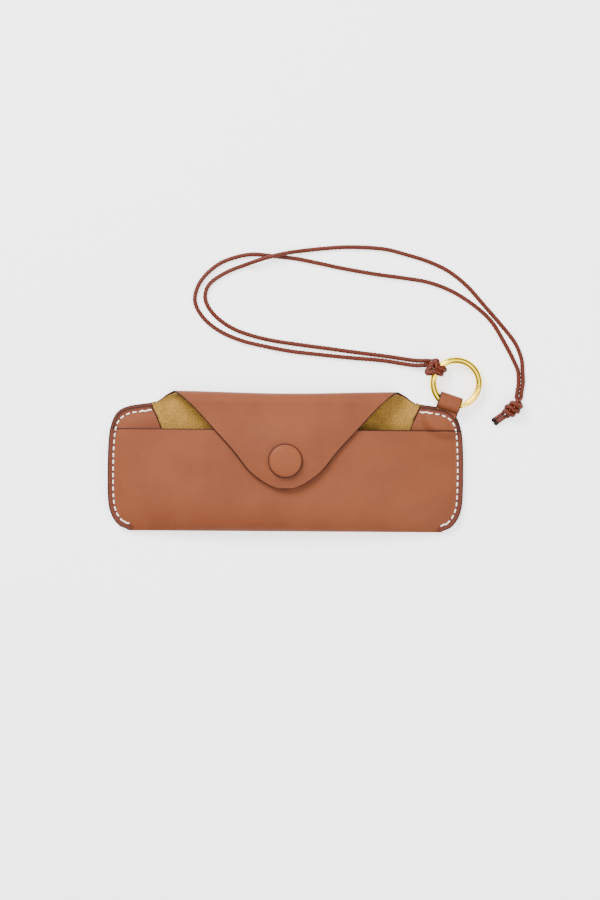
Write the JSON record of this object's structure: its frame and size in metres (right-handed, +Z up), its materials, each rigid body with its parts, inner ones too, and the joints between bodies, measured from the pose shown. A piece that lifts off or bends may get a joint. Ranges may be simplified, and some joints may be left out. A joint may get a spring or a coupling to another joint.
{
  "type": "soft pouch glasses case",
  "caption": "Soft leather pouch for folded glasses, with a pointed snap flap, suede lining, tab loop, spring-gate ring and knotted wrist cord.",
  "frame": {"origin": "middle of the flat back face that the case lies on, midway between its ends and on the axis of the snap", "axes": "+X along the length towards the end with the tab loop, +Y towards the fold of the flap, +Z up through the thickness"},
  "size_m": [0.1993, 0.1371, 0.0183],
  "materials": {
    "tan_leather": "smooth grained, satin",
    "cap_leather": "smooth grained, satin",
    "khaki_suede": "brushed microfibre suede",
    "cream_thread": "waxed sewing thread",
    "snap_brass": "satin",
    "spring_steel": "satin",
    "gold_metal": "polished light gold plating",
    "red_brown_cord": "waxed twisted cord"
  },
  "bodies": {
    "pouch": {"body_leather": "tan_leather", "back_lining": "khaki_suede", "front_lining": "khaki_suede", "left_gusset": "tan_leather", "right_gusset": "tan_leather", "left_seam_thread": "cream_thread", "right_seam_thread": "cream_thread", "tab_loop": "tan_leather", "snap_stud": "snap_brass", "snap_stud_rivet": "snap_brass", "cord_strand_a": "red_brown_cord", "cord_strand_b": "red_brown_cord", "end_knot": "red_brown_cord", "cord_tail_a": "red_brown_cord", "cord_tail_b": "red_brown_cord"},
    "fold": {"fold_panel": "tan_leather", "fold_lining": "khaki_suede"},
    "flap": {"flap_panel": "tan_leather", "flap_lining": "khaki_suede", "snap_cap_cover": "cap_leather", "snap_cap_shell": "snap_brass", "snap_socket": "snap_brass", "snap_spring": "spring_steel"},
    "ring": {"ring_body": "gold_metal", "gate_pin": "spring_steel", "gate_spring": "spring_steel", "ring_hitch": "red_brown_cord"},
    "gate": {"ring_gate": "gold_metal"}
  },
  "joints": [
    {"name": "flap_open", "type": "hinge", "parent": "pouch", "child": "fold", "pos_m": [0, 0.03158, 0.00159], "axis": [-1, 0, 0], "range_deg": [0, 84], "deforming": ["fold_panel", "fold_lining"]},
    {"name": "flap_follow", "type": "hinge", "parent": "fold", "child": "flap", "pos_m": [0, 0.03158, 0.00975], "axis": [-1, 0, 0], "range_deg": [0, 84]},
    {"name": "ring_swing", "type": "hinge", "parent": "pouch", "child": "ring", "pos_m": [0.07807, 0.02793, 0.0039], "axis": [0.9491, -0.315, 0], "range_deg": [-60, 110], "deforming": ["tab_loop", "cord_strand_a", "cord_strand_b"]},
    {"name": "gate_open", "type": "hinge", "parent": "ring", "child": "gate", "pos_m": [0.08494, 0.02733, 0.0039], "axis": [0, 0, 1], "range_deg": [0, 28], "stiffness_Nm_per_rad": 0.008, "springref_deg": -17.19, "deforming": ["gate_spring"]}
  ],
  "couplings": [
    {"joint": "flap_follow", "follows": "flap_open", "ratio": 1}
  ]
}
